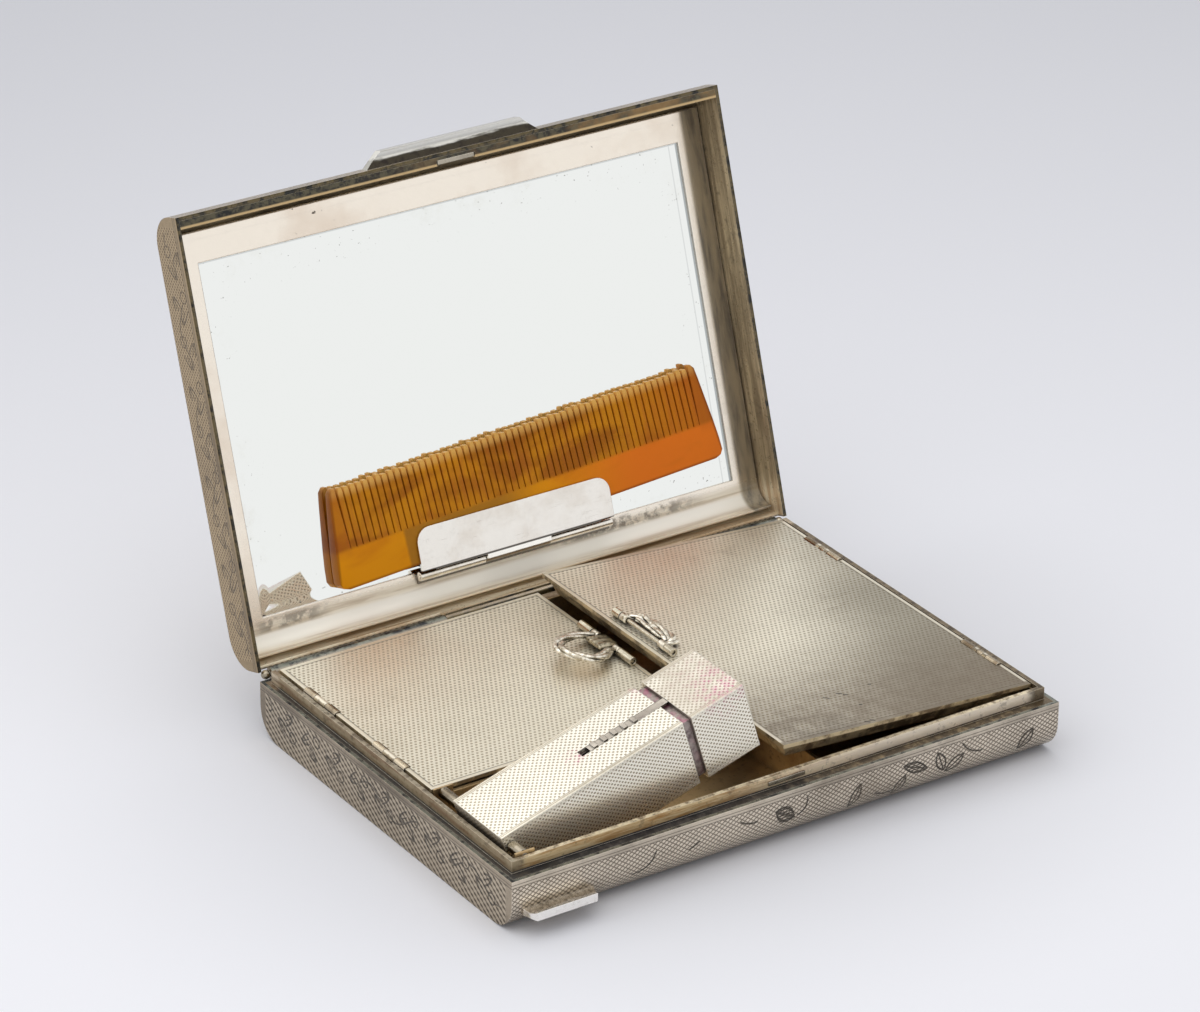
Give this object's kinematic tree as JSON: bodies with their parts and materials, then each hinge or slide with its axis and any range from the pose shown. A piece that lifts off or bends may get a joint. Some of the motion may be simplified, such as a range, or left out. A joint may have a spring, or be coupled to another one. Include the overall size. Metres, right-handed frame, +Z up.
{
  "type": "vanity case",
  "caption": "Slim silver vanity case, shown open: wells under hinged inner lids, tipping lipstick holder, mirror lid with a clipped comb.",
  "frame": {"origin": "centre of the base's flat underside, on the table", "axes": "+X to the right along the front, +Y from the front to the hinge at the back, +Z up"},
  "size_m": [0.12, 0.1236, 0.097],
  "materials": {
    "engine_turned_silver": "silver engine-turned in a fine wave pattern, worn, with soft grey tarnish",
    "polished_silver": "plain polished silver, lightly scratched",
    "tarnished_silver": "plain silver, darkly tarnished",
    "gilt": "gilt silver, worn satin",
    "mirror": "bevelled silvered glass with small spots along its edge",
    "backing_card": "plain card behind the glass, hidden",
    "amber": "translucent amber, mottled brown, polished",
    "lipstick": "waxy deep pink"
  },
  "bodies": {
    "base": {"base_shell": "engine_turned_silver", "base_rim": "tarnished_silver", "base_catch": "polished_silver", "base_tab": "polished_silver", "left_well": "gilt", "right_well": "gilt", "lipstick_well": "gilt", "main_hinge_pin": "polished_silver", "left_hinge_tubes": "polished_silver", "right_hinge_tubes": "polished_silver", "left_hinge_pins": "polished_silver", "holder_pivot_pin": "polished_silver", "pivot_sleeves": "polished_silver"},
    "outer_lid": {"lid_shell": "engine_turned_silver", "lid_front_rim": "tarnished_silver", "lid_catch": "polished_silver", "lid_thumbpiece": "polished_silver", "mirror_frame": "polished_silver", "mirror_glass": "mirror", "mirror_backing": "backing_card", "clip_leaf": "polished_silver", "clip_pin": "polished_silver"},
    "clip": {"clip_plate": "polished_silver"},
    "comb": {"comb": "amber"},
    "right_lid_pins": {"right_hinge_pins": "polished_silver", "right_lift_leaves": "polished_silver"},
    "right_lid": {"right_inner_lid": "engine_turned_silver", "right_pull_tubes": "polished_silver", "right_pull_pin": "polished_silver"},
    "right_pull": {"right_pull_bail": "polished_silver"},
    "left_lid": {"left_inner_lid": "engine_turned_silver", "left_pull_tubes": "polished_silver"},
    "left_pull_axle": {"left_pull_pin": "polished_silver", "left_pull_root": "polished_silver"},
    "left_pull": {"left_pull_loop": "polished_silver"},
    "holder": {"holder_body": "engine_turned_silver", "holder_inner_tube": "polished_silver"},
    "lipstick_carrier": {"holder_slider": "polished_silver", "lipstick_cup": "gilt", "lipstick": "lipstick"},
    "cap": {"holder_cap": "engine_turned_silver"}
  },
  "joints": [
    {"name": "outer_lid_hinge", "type": "hinge", "parent": "base", "child": "outer_lid", "pos_m": [0, 0.0439, 0.0114], "axis": [-1, 0, 0], "range_deg": [-108, 0]},
    {"name": "clip_hinge", "type": "hinge", "parent": "outer_lid", "child": "clip", "pos_m": [0, 0.05144, 0.01778], "axis": [1, 0, 0], "range_deg": [0, 45], "stiffness_Nm_per_rad": 0.004, "springref_deg": -11.46},
    {"name": "comb_slide", "type": "slide", "parent": "outer_lid", "child": "comb", "axis": [0, 0.309, 0.9511], "range_m": [0, 0.025]},
    {"name": "right_lid_settle", "type": "hinge", "parent": "base", "child": "right_lid_pins", "pos_m": [0.0565, 0, 0.013], "axis": [0, 1, 0], "range_deg": [-4.05, 0.05]},
    {"name": "right_lid_hinge", "type": "hinge", "parent": "right_lid_pins", "child": "right_lid", "pos_m": [0.0565, 0, 0.013], "axis": [0, 1, 0], "range_deg": [0, 95]},
    {"name": "right_pull_hinge", "type": "hinge", "parent": "right_lid", "child": "right_pull", "pos_m": [0.00322, 0.01, 0.01808], "axis": [0, -1, 0], "range_deg": [0, 150]},
    {"name": "left_lid_hinge", "type": "hinge", "parent": "base", "child": "left_lid", "pos_m": [-0.0565, 0, 0.013], "axis": [0, -1, 0], "range_deg": [0, 100]},
    {"name": "left_pull_settle", "type": "hinge", "parent": "left_lid", "child": "left_pull_axle", "pos_m": [-0.0011, 0.015, 0.01435], "axis": [0, 1, 0], "range_deg": [-14.05, 0.05]},
    {"name": "left_pull_hinge", "type": "hinge", "parent": "left_pull_axle", "child": "left_pull", "pos_m": [-0.0011, 0.015, 0.01435], "axis": [0, 1, 0], "range_deg": [0, 80]},
    {"name": "holder_settle", "type": "hinge", "parent": "base", "child": "holder", "pos_m": [-0.055, -0.0275, 0.0128], "axis": [0, -1, 0], "range_deg": [-17.05, 0.05]},
    {"name": "lipstick_slide", "type": "slide", "parent": "holder", "child": "lipstick_carrier", "axis": [0.9563, 0, 0.2924], "range_m": [-0.00175, 0.01]},
    {"name": "cap_slide", "type": "slide", "parent": "lipstick_carrier", "child": "cap", "axis": [0.9563, 0, 0.2924], "range_m": [0, 0.016]}
  ],
  "couplings": [
    {"joint": "right_lid_settle", "follows": "outer_lid_hinge", "ratio": 0.037037},
    {"joint": "left_pull_settle", "follows": "outer_lid_hinge", "ratio": 0.12963},
    {"joint": "holder_settle", "follows": "outer_lid_hinge", "ratio": 0.15741}
  ]
}
